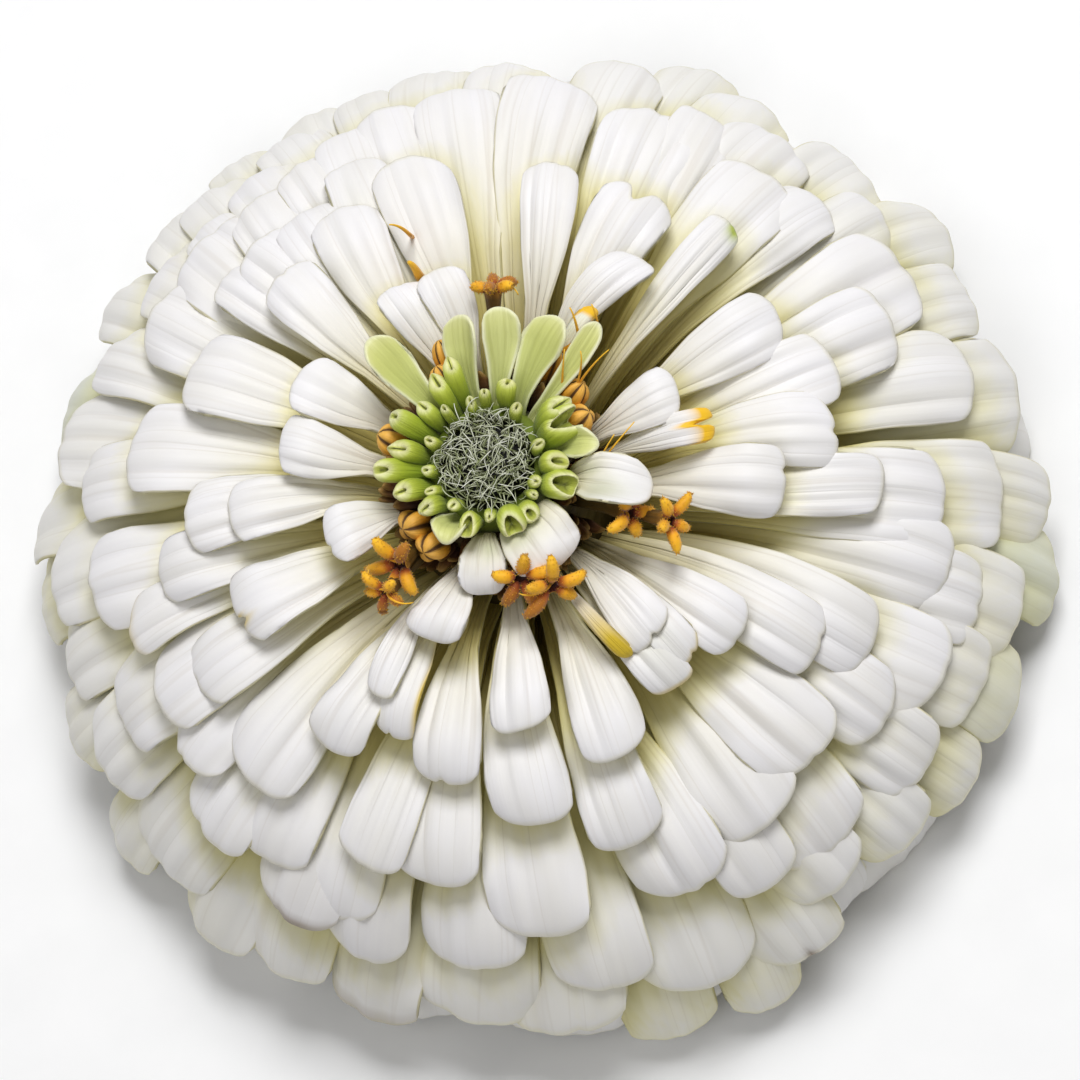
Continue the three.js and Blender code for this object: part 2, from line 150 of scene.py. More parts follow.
# Styles and lobes that stand out among the petals, as a radius and points of (azimuth, reach, height).
# The last three are the visible curve, and a point before them is the root inside another part.
THREADS = [
    (0.15, (12, 9.6, 39), (16, 11, 42), (20, 12.4, 42.8)),
    (0.15, (8, 10.6, 39), (9, 12.4, 42.2), (14, 13.2, 43)),
    (0.15, (8, 10.6, 39), (8, 13, 42.2), (7, 15.2, 43)),
    (0.16, (320, 6.9, 35.2), (320, 9.6, 38), (330, 11.6, 40.8), (340, 14.4, 41.6)),
    (0.16, (320, 6.9, 35.2), (320, 9.6, 38), (329, 11, 40.8), (336, 12.4, 42)),
    (0.2, (27, 12, 39), (22, 14.4, 39), (25, 15.6, 41.8), (28, 16, 42.4)),
    (0.2, (27, 12, 39), (18, 16, 39), (20, 17, 41.6), (23, 17.4, 42)),
    (0.5, (79, 21.2, 30.8), (79, 20.4, 36.5), (79, 21, 38.7), (80, 21.2, 39)),
    (0.22, (78, 26, 31), (78, 25.2, 34.5), (79, 25.8, 36.7), (81, 26, 37.1)),
]
# What each kind of tube has in common. Tips, and falls as a pair, are drawn between limits.
OUTER_TUBE = {"root": (5.2, 37.2), "launch": 64, "tips": (41.6, 42.4), "falls": (-40, -5), "stoutness": 0.49}
RING_TUBE = {"root": (4.2, 37.2), "launch": 74, "tips": (41.2, 42), "fall": -60, "stoutness": 0.41}
# Tubes that have opened, by (azimuth, reach): share of the mouth that is open, and height of its lobes
OPENED = {
    (307, 8.6): (0.66, 0.5), (350, 8.6): (0.62, 1.1), (261, 7.6): (0.6, 0.4), (228, 7.2): (0.5, 0.35),
    (155, 9.8): (0.24, 0.2), (322, 7.4): (0.3, 0.1), (277, 7.4): (0.36, 0.1),
}
# White petals that have just opened over the disc, as (azimuth, width, root, launch, tip, fall, form)
YOUNG_PETALS = [
    (316, 5.2, (7.2, 36.8), 62, (16.2, 41), 22, {
        "channel": 0.16, "camber": -0.12, "cap": 0.6, "roll": -14,
        "marks": [(-0.5, 0.6, 0.6, 0.24, SHADE, 0.6), (0.4, 0.42, 0.5, 0.12, SHADE, 0.5)],
    }),
    (272, 7, (5.9, 37), 86, (12.4, 39.4), 66, {
        "camber": 0.14, "cap": 0.3, "roll": -10, "twist": 12,
        "profile": ((0, 0.45), (0.25, 0.8), (0.5, 1), (0.8, 1), (1, 0.9)),
        "marks": [(-0.5, 0.42, 0.6, 0.16, SHADE, 0.65)],
    }),
    (237, 4.6, (6.4, 36.8), 80, (12.4, 37.6), 66, {
        "camber": -0.06, "cap": 0.6, "roll": 10, "twist": -14, "grooves": [(0.1, 0.02)],
        "marks": [(0.3, 0.4, 0.6, 0.14, SHADE, 0.7)],
    }),
]

# Azimuths between which the longer petals are broad along most of their length, and the reach they start at
BROAD_SIDE = (292, 350)
LONGER_REACH = 33
BROAD_PROFILE = ((0, 0.3), (0.2, 0.42), (0.42, 0.68), (0.62, 0.92), (0.8, 1), (0.9, 1), (1, 0.9))
LONGER_PROFILE = ((0, 0.24), (0.2, 0.3), (0.42, 0.5), (0.62, 0.84), (0.8, 1), (0.9, 1), (1, 0.9))
OLD_REACH = (44, 53)  # reaches between which petals come to look old

# What makes single petals different, by (azimuth, reach).
# A mark is (across, along, spread across, spread along, colour, strength), with across from -1 to 1.
SPECIALS = {
    (338, 21.5): {"notches": [(0.1, 0.16, 2.2)], "cap": 0.35, "marks": [(0, 1.03, 2, 0.1, YOLK, 3)]},
    (175, 28.5): {"marks": [(0.35, 1, 0.1, 0.05, GOLD, 0.9), (0.1, 1, 0.07, 0.04, GOLD, 0.8)],
                  "notches": [(0.25, 0.12, 1.1)]},
    (17, 33.5): {"cap": 0.3, "marks": [(-0.45, 1, 0.4, 0.045, LIME, 1.3)]},
    (217, 27): {"marks": [(1, 0.8, 0.14, 0.25, GOLD, 0.9)]},
    (278, 27.5): {"marks": [(0, 1, 2, 0.02, GOLD, 0.7), (0.3, 0.7, 0.8, 0.3, OLIVE, 0.25)]},
    (284, 26.5): {"marks": [(0, 1, 2, 0.02, GOLD, 0.6), (-0.3, 0.7, 0.8, 0.3, OLIVE, 0.2)]},
    (24, 25): {"channel": 0.12, "bow": 2.2},
    (32, 32.5): {"notches": [(0.1, 0.25, 2.4)], "ripple": 0.6},
    (263, 43): {"grooves": [(-0.2, 0.12), (0.45, 0.05)]},
    # The ash mark on this petal is painted shade along its deep groove.
    (0, 45.5): {"grooves": [(0.1, 0.1), (-0.5, 0.04)], "marks": [(0.1, 0.8, 0.1, 0.5, ASH, 0.4)]},
    (209, 46): {"marks": [(0, 0.9, 2, 0.5, ASH, 0.18), (0.2, 1, 0.8, 0.03, BROWN, 0.7)]},
    (219, 47): {"marks": [(0, 0.9, 2, 0.5, ASH, 0.16)]},
    (220, 51.5): {"ripple": 0.8, "marks": [(0, 1, 2, 0.06, BROWN, 0.4), (0, 0.9, 2, 0.4, ASH, 0.15)]},
    (271, 51.5): {"marks": [(0.1, 1, 0.1, 0.03, BROWN, 0.9)]},
    (167, 39.5): {"marks": [(0, 1, 1, 0.03, GOLD, 0.4)]},
    # The olive mark on this petal is painted shade from the petal above it.
    (83, 38): {"marks": [(0.4, 0.5, 0.5, 0.3, OLIVE, 0.35)]},
    (130, 52.5): {"marks": [(0, 0.8, 2, 0.6, MOSS, 0.4)]},
    (323, 53): {"marks": [(0, 0.8, 2, 0.6, MOSS, 0.4)]},
    (308, 52): {"marks": [(0, 0.8, 2, 0.6, MOSS, 0.2)]},
    (274, 22.6): {"marks": [(0, 1, 2, 0.34, GOLD, 1.2)], "bow": -0.8, "cap": 0.8, "grooves": []},
    (25, 18): {"marks": [(0, 1, 2, 0.09, YOLK, 2), (0, 0.7, 2, 0.4, CREAM, 0.7)], "cap": 0.7, "grooves": []},
    (102, 15.5): {"cap": 0.9},
}


def mix(a, b, share):
    return a + (b - a) * share


def smooth_step(low, high, value):
    share = np.clip((value - low) / (high - low), 0, 1)
    return share * share * (3 - 2 * share)


def dome(reach):
    return math.sqrt(1 - (reach / ENVELOPE_RADIUS) ** 2)


def envelope_height(reach):
    return mix(ENVELOPE_FLOOR, CROWN_HEIGHT, dome(reach))


def envelope_fall(reach):
    """How steeply the envelope of the petal tips falls at that reach, in degrees."""
    gradient = (CROWN_HEIGHT - ENVELOPE_FLOOR) * reach / (ENVELOPE_RADIUS**2 * dome(reach))
    return math.degrees(math.atan(gradient))


def band_radius(band, height):
    share = (height - band["bottom"]) / (band["top"] - band["bottom"])
    return mix(band["wide"], band["narrow"], min(max(share, 0), 1))


def polar(azimuth, reach, height=0.0):
    """The point at an azimuth in degrees, a distance from the axis and a height."""
    angle = math.radians(azimuth)
    return np.array([reach * math.cos(angle), reach * math.sin(angle), height])


def unit(vectors):
    """The same directions with length 1."""
    return vectors / (np.linalg.norm(vectors, axis=-1, keepdims=True) + 1e-12)


def link(name, data):
    """A new object in the scene."""
    thing = bpy.data.objects.new(name, data)
    bpy.context.collection.objects.link(thing)
    return thing


class Spine:
    """A Bezier curve in the half plane of radius and height, standing at an azimuth."""

    def __init__(self, azimuth, root, launch, tip, fall, reach_in=0.36, reach_out=0.34):
        start, end = np.array(root, float), np.array(tip, float)
        chord = np.linalg.norm(end - start)
        launch, fall = math.radians(launch), math.radians(fall)
        leave = np.array([math.cos(launch), math.sin(launch)]) * reach_in * chord
        arrive = np.array([math.cos(fall), -math.sin(fall)]) * reach_out * chord
        self.points = [start, start + leave, end - arrive, end]
        self.outward = polar(azimuth, 1)
        self.across = polar(azimuth + 90, 1)

    def frames(self, along):
        """Centre, direction and upward normal at places along the spine."""
        t = np.asarray(along, float)[..., None]
        a, b, c, d = self.points
        flat = a * (1 - t) ** 3 + 3 * b * t * (1 - t) ** 2 + 3 * c * t**2 * (1 - t) + d * t**3
        slope = unit((b - a) * (1 - t) ** 2 + 2 * (c - b) * t * (1 - t) + (d - c) * t**2)
        up = np.array([0.0, 0.0, 1.0])
        centre = flat[..., :1] * self.outward + flat[..., 1:] * up
        direction = slope[..., :1] * self.outward + slope[..., 1:] * up
        normal = slope[..., :1] * up - slope[..., 1:] * self.outward
        return centre, direction, normal

    def length(self):
        centres = self.frames(np.linspace(0, 1, 25))[0]
        return float(np.linalg.norm(np.diff(centres, axis=0), axis=1).sum())


def petal_width(reach, width):
    """The blade's width, less for the short petals, whose edges roll in."""
    return width * mix(0.82, 1, smooth_step(28, 45, reach))


def petal_spine(azimuth, reach):
    """Shorter petals grow higher up and steeper."""
    inward = (LONGEST_REACH - reach) / (LONGEST_REACH - SHORTEST_REACH)
    height = mix(*PETAL_ROOTS, inward)
    return Spine(
        azimuth,
        root=(band_radius(RAY_BAND, height) - PETAL_SINK, height),
        launch=mix(*PETAL_LAUNCH, inward),
        tip=(reach, envelope_height(reach)),
        fall=envelope_fall(reach) - TIP_LIFT,
    )


def floret_spine(band, azimuth, reach, tip_height, launch):
    height = mix(band["bottom"], band["top"], FLORET_ROOT)
    root = (band_radius(band, height) - FLORET_SINK, height)
    return Spine(azimuth, root, launch, (reach, tip_height), -30, reach_in=0.3, reach_out=0.3)


class Shape:
    """Collects surfaces and turns them into one mesh object with what its material reads."""

    def __init__(self):
        self.points, self.faces, self.places, self.marks, self.facts = [], [], [], [], []
        # the share of painted shade on each point, from the petals above it
        self.painted_shade = []
        self.count = 0

    def add(self, points, faces, places, marks, facts):
        """points (n, 3), faces of 3 or 4 indices, places (n, 2), marks (n, 4), facts (3) or (n, 3)."""
        size = len(points)
        self.points.append(points)
        self.faces.extend([int(corner) + self.count for corner in face] for face in faces)
        self.places.append(places)
        self.marks.append(marks)
        self.facts.append(np.broadcast_to(facts, (size, 3)))
        self.painted_shade.append(np.zeros(size))
        self.count += size

    def build(self, name, material, slot, *nodes):
        """Makes the finished piece. Its UV map is the place across and along each part."""
        points = (np.concatenate(self.points) + BLOOM_AXIS) * MM
        mesh = bpy.data.meshes.new(name)
        mesh.from_pydata(points.tolist(), [], self.faces)
        mesh.polygons.foreach_set("use_smooth", [True] * len(mesh.polygons))
        corners = np.empty(len(mesh.loops), int)
        mesh.loops.foreach_get("vertex_index", corners)
        layer = mesh.uv_layers.new(name="place")
        layer.data.foreach_set("uv", np.concatenate(self.places)[corners].ravel())
        # the fourth value of facts is the share of painted shade from the petals above
        facts = np.column_stack([np.concatenate(self.facts), np.concatenate(self.painted_shade)])
        for key, rows in (("mark", np.concatenate(self.marks)), ("facts", facts)):
            colours = mesh.attributes.new(key, "FLOAT_COLOR", "POINT")
            colours.data.foreach_set("color", rows.ravel())
        mesh.update()
        piece = link(name, mesh)
        mesh.materials.append(material)
        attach(piece, "root")
        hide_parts(*nodes)


def grid_faces(rows, columns, start=0, flip=False):
    corner = np.arange(rows - 1)[:, None] * columns + np.arange(columns - 1)[None, :] + start
    faces = np.stack([corner, corner + columns, corner + columns + 1, corner + 1], axis=-1).reshape(-1, 4)
    return faces[:, ::-1] if flip else faces


# The rule of every leaf. A pair says where along it, as shares of its length, something starts and ends.
LEAF = {
    "crowding": 0.4,  # how much closer the points stand towards the edges
    "row_power": 1.25,  # above 1, the rows stand closer towards the tip
    "claw": (0, 0.25),  # the claw's channel deepens
    "blade": (0.35, 0.75),  # the claw turns into the blade
    "fading": (0.75, 1),  # the grooves get shallower
    "faded": 0.55,  # share of their depth that they lose
    "groove": 0.19,  # half the width of a groove, as a share of half the leaf's width
    "waves": (0.55, 1.5),  # turn of the edges' waves per millimetre along, and from the middle to an edge
    "curl_start": 0.76,  # where the tip starts to turn down
    "tip": (0.9, 1),  # the leaf gets thinner
    "thinner": 0.55,  # share of its thickness that it loses at the edges
}
PETAL_FORM = {
    "profile": ((0, 0.2), (0.2, 0.24), (0.42, 0.42), (0.62, 0.8), (0.8, 0.99), (0.9, 1), (1, 0.9)),
    "channel": 0.05,  # how far the claw's edges stand up, as a share of the width
    "camber": 0.06,  # how far the blade's edges hang down, as a share of the width
    "cap": 0.4,  # length of the rounded tip, as a share of the width
    "bluntness": 2.5,  # exponent of the tip's outline: 2 is round, more is squarer
    "grooves": [(-0.35, 0.03), (0.35, 0.03)],  # places across, and depths as a share of the width
    "notches": [],  # places across, widths and depths
    "lean": 0,  # how far one corner of the tip stands back, as a share of the width
    "roll": 6,
    "twist": 0,
    "bow": 0,  # how far the middle stands to one side
    "curl": 0.6,  # how far the tip turns down
    "ripple": 0.2,  # height of the waves along the edges
    "phase": 0,
    "marks": [],
    "half": 0.3,  # half the thickness in the middle
    "random": 0.5,
}


def bell(values, middle, spread):
    """1 at the middle, and less away from it."""
    return np.exp(-(((values - middle) / spread) ** 2))


def leaf_surface(spine, width, form, rows, columns):
    """The leaf's middle surface, and each point's place across, from -1 to 1, and along, from 0 to 1."""
    length = spine.length()
    even = np.linspace(-1, 1, columns)
    across = (1 - LEAF["crowding"]) * even + LEAF["crowding"] * np.sin(even * math.pi / 2)
    across[0], across[-1] = -1, 1
    outline = 1 - (1 - np.abs(across) ** form["bluntness"]) ** (1 / form["bluntness"])
    shortened = form["cap"] * width * outline
    shortened = shortened + abs(form["lean"]) * width * (1 + math.copysign(1, form["lean"]) * across)
    for place, spread, depth in form["notches"]:
        shortened = shortened + depth * bell(across, place, spread)
    ends = 1 - shortened / length
    along = (1 - (1 - np.linspace(0, 1, rows)) ** LEAF["row_power"])[:, None] * ends[None, :]
    across = np.broadcast_to(across, along.shape)

    shares = np.array(form["profile"])
    half_width = np.interp(along, shares[:, 0], shares[:, 1]) * width / 2
    side = across * half_width + form["bow"] * np.sin(math.pi * along)
    blade = smooth_step(*LEAF["blade"], along)
    channel = form["channel"] * smooth_step(*LEAF["claw"], along)
    lift = width * across**2 * mix(channel, -form["camber"], blade)
    for place, depth in form["grooves"]:
        valley = bell(across, place, LEAF["groove"]) * half_width * 2
        lift = lift - depth * valley * (1 - LEAF["faded"] * smooth_step(*LEAF["fading"], along))
    per_length, per_width = LEAF["waves"]
    wave = np.sin(along * length * per_length + form["phase"] + across * per_width)
    lift = lift + form["ripple"] * np.abs(across) ** 3 * wave * blade
    start = LEAF["curl_start"]
    lift = lift - form["curl"] * np.clip((along - start) / (1 - start), 0, 1) ** 2
    tilt = np.radians(form["roll"] * blade + form["twist"] * along)
    side, lift = side * np.cos(tilt) - lift * np.sin(tilt), side * np.sin(tilt) + lift * np.cos(tilt)

    centre, _, normal = spine.frames(along)
    middle = centre + side[..., None] * spine.across + lift[..., None] * normal
    middle[..., 2] = np.maximum(middle[..., 2], form["half"])
    return middle, across, along / ends


def leaf_faces(rows, columns):
    """Faces of the upper and the lower sheet, and of the band that joins their rims."""
    count = rows * columns
    rim = np.concatenate([
        np.arange(columns),
        np.arange(2, rows + 1) * columns - 1,
        (rows - 1) * columns + np.arange(columns - 2, -1, -1),
        np.arange(rows - 2, 0, -1) * columns,
    ])
    following = np.roll(rim, -1)
    band = np.stack([rim, following, following + count, rim + count], axis=-1)
    return np.concatenate([grid_faces(rows, columns), grid_faces(rows, columns, count, True), band]).tolist()


def paint(marks, across, along):
    """Colour and strength of the strongest mark at each point."""
    paints = np.zeros((across.size, 4))
    for place, reach, spread, run, colour, strength in marks:
        spot = np.exp(-(((across - place) / spread) ** 2) - ((along - reach) / run) ** 2).ravel()
        stronger = spot * strength > paints[:, 3]
        paints[stronger, :3] = colour
        paints[stronger, 3] = (spot * strength)[stronger]
    return paints


def add_blade(shape, spine, width, form, age, rows=36, columns=27, painted=1.0):
    """A petal as a thin closed leaf over its spine. form overrides parts of PETAL_FORM.

    painted is how much of its material's lengthwise colours it runs through.
    """
    form = {**PETAL_FORM, **form}
    middle, across, along = leaf_surface(spine, width, form, rows, columns)
    facing = unit(np.cross(np.gradient(middle, axis=0), np.gradient(middle, axis=1)))
    edge = np.maximum(np.abs(across), smooth_step(*LEAF["tip"], along) ** 3)
    half = form["half"] * (1 - LEAF["thinner"] * edge**6)[..., None]
    upper = (middle + facing * half).reshape(-1, 3)
    lower = (middle - facing * half).reshape(-1, 3)
    lower[:, 2] = np.maximum(lower[:, 2], 0)
    places = np.stack([(across + 1) / 2, along * painted], axis=-1).reshape(-1, 2)
    marks = paint(form["marks"], across, along)
    facts = np.tile((form["random"], 0.0, age), (2 * len(upper), 1))
    facts[len(upper):, 1] = 1
    points = np.concatenate([upper, lower])
    shape.add(points, leaf_faces(rows, columns), np.tile(places, (2, 1)), np.tile(marks, (2, 1)), facts)


def add_rings(shape, centres, across, normals, radii, places, sides, own=0, age=0, ribs=(0, 0),
              groove=None, offsets=None):
    """A round skin over rings, closed at both ends. places is the second UV of each ring.

    own is the part's random number. ribs are their number and height, groove the colour and strength
    between them, and offsets move the points of every ring.
    """
    turn = np.linspace(0, 2 * math.pi, sides, endpoint=False)
    rib = 2 * np.abs(np.cos(ribs[0] * turn / 2)) - 1
    turned = turn[None, :, None]
    ring = np.cos(turned) * across[:, None, :] + np.sin(turned) * normals[:, None, :]
    points = centres[:, None, :] + ring * (np.asarray(radii)[:, None] * (1 + ribs[1] * rib))[..., None]
    if offsets is not None:
        points = points + offsets
    rows = len(radii)
    index = np.arange(rows * sides).reshape(rows, sides)
    ahead = np.roll(index, -1, axis=1)
    quads = np.stack([index[:-1], ahead[:-1], ahead[1:], index[1:]], axis=-1).reshape(-1, 4)
    first, last = rows * sides, rows * sides + 1
    caps = [(first, ahead[0, k], index[0, k]) for k in range(sides)]
    caps += [(last, index[-1, k], ahead[-1, k]) for k in range(sides)]
    grid = np.stack(np.broadcast_arrays((rib / 2 + 0.5)[None, :], np.asarray(places)[:, None]), axis=-1)
    marks = np.zeros((rows * sides + 2, 4))
    if groove is not None:
        colour, strength = groove
        marks[:, :3] = colour
        marks[:-2, 3] = np.tile(np.clip(-rib - 0.2, 0, 1) * strength, rows)
    shape.add(
        np.concatenate([points.reshape(-1, 3), centres[:1], centres[-1:]]),
        [*quads.tolist(), *caps],
        np.concatenate([grid.reshape(-1, 2), [[0.5, places[0]], [0.5, places[-1]]]]),
        marks,
        (own, 0, age),
    )


def add_shaft(shape, spine, stations, sides, ribs, own, groove=None, slant=0, lobes=0):
    """stations are (place along the spine, radius, second UV). They may turn back inside, as in a tube.

    slant and lobes shift the mouth's rim along the spine, in one sweep and in two lobes.
    """
    along, radii, places = (np.array(column, float) for column in zip(*stations))
    centres, direction, normals = spine.frames(along)
    across = np.broadcast_to(spine.across, centres.shape)
    turn = np.linspace(0, 2 * math.pi, sides, endpoint=False)
    shift = slant * np.sin(turn) + lobes * np.cos(2 * turn)
    offsets = (smooth_step(0.55, 1, along)[:, None] * shift[None, :])[..., None] * direction[:, None, :]
    add_rings(shape, centres, across, normals, radii, places, sides, own, 0, ribs, groove, offsets)


def add_thread(shape, path, radius, tip, sides, own, age=0):
    """A round thread along a path, with one radius or one for each point, and tip as its share at the end."""
    path = np.asarray(path, float)
    direction = unit(np.gradient(path, axis=0))
    aside = (0.31, 0.17, 0.93)  # a direction that no thread runs in
    across = unit(np.cross(direction, aside))
    normals = np.cross(direction, across)
    share = np.linspace(0, 1, len(path))
    add_rings(shape, path, across, normals, radius * mix(1, tip, share), share, sides, own, age)


def curl_path(start, direction, bend, length, turns, steps=10):
    """A path that leaves start in a direction and curls towards bend."""
    direction, bend = unit(np.asarray(direction, float)), np.asarray(bend, float)
    bend = unit(bend - direction * bend.dot(direction))
    angle = np.linspace(0, turns * 2 * math.pi, steps)[:, None]
    step = (np.cos(angle) * direction + np.sin(angle) * bend) * length / (steps - 1)
    return np.concatenate([[start], start + np.cumsum(step[:-1], axis=0)])


def lathe(shape, profile, sides=64):
    """A round solid from (radius, height, second UV) rows that start and end on the axis."""
    radii, heights, places = (np.array(column, float) for column in zip(*profile))
    centres = np.stack([np.zeros_like(heights), np.zeros_like(heights), heights], axis=-1)
    across = np.broadcast_to((1.0, 0.0, 0.0), centres.shape)
    normals = np.broadcast_to((0.0, 1.0, 0.0), centres.shape)
    add_rings(shape, centres, across, normals, radii, places, sides)


def lathe_band(shape, band, top_place):
    """The part of the receptacle that a ring of florets grows from."""
    lathe(shape, [
        (CENTRE, band["bottom"], 0), (band["wide"], band["bottom"], 0),
        (band["narrow"], band["top"], top_place), (CENTRE, band["top"], top_place),
    ])


class Graph:
    """A node material, with short calls for its nodes."""

    def __init__(self, name):
        self.material = bpy.data.materials.new(name)
        self.material.use_nodes = True
        self.tree = self.material.node_tree
        self.tree.nodes.clear()

    def add(self, kind, settings=None, **inputs):
        node = self.tree.nodes.new("ShaderNode" + kind)
        for key, value in (settings or {}).items():
            setattr(node, key, value)
        for key, value in inputs.items():
            self.feed(node.inputs[key.replace("_", " ")], value)
        return node

    def feed(self, socket, value):
        if isinstance(value, bpy.types.NodeSocket):
            self.tree.links.new(value, socket)
        else:
            socket.default_value = value

    def maths(self, operation, a, b=0.0):
        node = self.add("Math", {"operation": operation})
        self.feed(node.inputs[0], a)
        self.feed(node.inputs[1], b)
        return node.outputs[0]

    def times(self, a, b):
        return self.maths("MULTIPLY", a, b)

    def blend(self, factor, a, b, blend_type="MIX"):
        node = self.add("Mix", {"data_type": "RGBA", "blend_type": blend_type})
        for index, value in ((0, factor), (6, a), (7, b)):
            if isinstance(value, tuple):
                value = (*value, 1)
            self.feed(node.inputs[index], value)
        return node.outputs[2]

    def tint(self, share, colour, other):
        """The colour multiplied by that share of the other one."""
        return self.blend(share, colour, other, "MULTIPLY")

    def ramp(self, value, stops):
        """Colours or grey values, as (position, colour)."""
        node = self.add("ValToRGB", Fac=value)
        elements = node.color_ramp.elements
        while len(elements) < len(stops):
            elements.new(0.5)
        for element, (position, colour) in zip(elements, stops):
            element.position = position
            element.color = (*colour, 1) if isinstance(colour, tuple) else (colour, colour, colour, 1)
        return node.outputs[0]

    def places(self):
        """The places across and along the part, from 0 to 1."""
        split = self.add("SeparateXYZ", Vector=self.add("UVMap", {"uv_map": "place"}).outputs[0])
        return split.outputs[0], split.outputs[1]

    def facts(self):
        """The part's random number, 1 on its underside, its age, and the share of painted shade that the
        petals above put on the point.
        """
        node = self.add("Attribute", {"attribute_name": "facts"})
        split = self.add("SeparateColor", Color=node.outputs["Color"])
        return split.outputs[0], split.outputs[1], split.outputs[2], node.outputs["Alpha"]

    def marked(self, colour):
        node = self.add("Attribute", {"attribute_name": "mark"})
        return self.blend(node.outputs["Alpha"], colour, node.outputs["Color"])

    def noise(self, vector, scale, detail=2.0):
        return self.add("TexNoise", Vector=vector, Scale=scale, Detail=detail).outputs[0]

    def texture(self, across, along, seed, detail=2.0):
        """Noise with about that many patches across and along the part."""
        uv = self.add("UVMap", {"uv_map": "place"}).outputs[0]
        offset = self.add("CombineXYZ", X=seed, Y=seed).outputs[0]
        node = self.add("Mapping", Vector=uv, Location=offset, Scale=(across, along, 1))
        return self.noise(node.outputs[0], 1.0, detail)

    def between(self, texture, low, high):
        """A grey value that follows the texture from low to high."""
        return self.ramp(texture, [(0.3, low), (0.7, high)])

    def finish(self, colour, roughness, height, depth, **inputs):
        """Principled shader with a bump of that depth in millimetres."""
        bump = self.add("Bump", Height=height, Distance=depth * MM, Strength=1.0).outputs[0]
        shader = self.add("BsdfPrincipled", Base_Color=colour, Roughness=roughness, Normal=bump, **inputs)
        output = self.add("OutputMaterial")
        self.tree.links.new(shader.outputs[0], output.inputs[0])
        return self.material


def petal_material():
    """White with fine lengthwise lines, with yellow-green painted shade where other petals cover it, and
    yellower towards its root, partly its own colour and partly painted shade.
    """
    graph = Graph("white_petal")
    across, along = graph.places()
    own, under, age, painted_shade = graph.facts()
    seed = graph.times(own, 60.0)
    veins = graph.texture(4.5, 0.25, seed, 1.0)
    crease = graph.maths("ABSOLUTE", graph.maths("SUBTRACT", veins, 0.5))
    lower = graph.ramp(along, [(0.35, 0.85), (0.95, 0.25)])
    streaks = graph.texture(12, 1, seed)
    fine = graph.texture(60, 60, seed, 3.0)
    patches = graph.texture(1.6, 2.4, seed, 3.0)
    # Yellower and darker towards the root: partly the claw's own yellow-green, partly painted shade where
    # other petals cover the lower half
    body = graph.ramp(along, [
        (0.0, (0.38, 0.3, 0.08)), (0.2, (0.68, 0.61, 0.38)), (0.38, (0.8, 0.75, 0.61)),
        (0.54, (0.84, 0.815, 0.74)), (0.68, (0.855, 0.84, 0.82)), (0.82, (0.86, 0.85, 0.865)),
        (1.0, (0.865, 0.855, 0.88)),
    ])
    lines = graph.ramp(crease, [(0.0, (0.66, 0.6, 0.52)), (0.022, 1)])
    colour = graph.tint(graph.times(lower, 0.55), body, lines)
    soft = graph.ramp(streaks, [(0.3, (0.94, 0.935, 0.96)), (0.6, 1)])
    colour = graph.tint(0.3, colour, soft)
    mottled = graph.ramp(patches, [(0.3, (0.95, 0.94, 0.88)), (0.6, 1)])
    colour = graph.tint(0.7, colour, mottled)
    inward = graph.times(graph.maths("SUBTRACT", across, 0.5), 2.0)
    margin = graph.maths("MAXIMUM", graph.maths("ABSOLUTE", inward), graph.times(along, 0.98))
    outline = graph.ramp(margin, [(0.955, 0), (0.995, 1)])
    colour = graph.blend(graph.times(outline, 0.6), colour, (0.72, 0.66, 0.34))
    older = graph.tint(graph.times(age, 0.4), colour, (0.87, 0.87, 0.74))
    below = graph.tint(graph.times(under, 0.85), older, (0.9, 0.89, 0.64))
    # Painted shade: yellow-green and darker where other petals stand close above the upper side
    painted_shade_share = graph.times(painted_shade, graph.maths("SUBTRACT", 1.0, under))
    shaded = graph.ramp(painted_shade_share, [
        (0.12, 1), (0.45, (0.98, 0.96, 0.76)), (0.75, (0.9, 0.86, 0.5)),
        (1.0, (0.8, 0.74, 0.34)),
    ])
    colour = graph.marked(graph.tint(1.0, below, shaded))
    roughness = graph.between(fine, 0.48, 0.62)
    ridges = graph.ramp(crease, [(0.0, 0.0), (0.09, 1.0)])
    height = graph.maths("ADD", graph.times(ridges, lower), graph.times(streaks, 0.5))
    height = graph.maths("ADD", height, graph.times(fine, 0.06))
    gloss = {"Sheen_Weight": 0.1, "Sheen_Roughness": 0.4, "Specular_IOR_Level": 0.35}
    return graph.finish(colour, roughness, height, 0.1, **gloss)


def floret_material(name, stops, ridges, roughness, sheen, pale=(0.8, 0.82, 0.5), paleness=0.0):
    """A floret's colours run along it. ridges is how many lengthwise lines its skin shows.

    pale is the colour that older parts turn to, by paleness.
    """
    graph = Graph(name)
    own, _, age, _ = graph.facts()
    seed = graph.times(own, 40.0)
    lines = graph.texture(ridges, 1.2, seed)
    grain = graph.texture(ridges * 3, 14, seed)
    colour = graph.ramp(graph.places()[1], stops)
    colour = graph.blend(graph.times(age, paleness), colour, pale)
    shade = graph.ramp(lines, [(0.32, (0.72, 0.72, 0.6)), (0.56, 1)])
    colour = graph.tint(0.6, colour, shade)
    colour = graph.tint(graph.times(own, 0.3), colour, (1, 0.93, 0.7))
    colour = graph.marked(colour)
    height = graph.maths("ADD", lines, graph.times(grain, 0.4))
    rough = graph.between(grain, roughness - 0.08, roughness + 0.1)
    return graph.finish(colour, rough, height, 0.12, Sheen_Weight=sheen, Specular_IOR_Level=0.4)


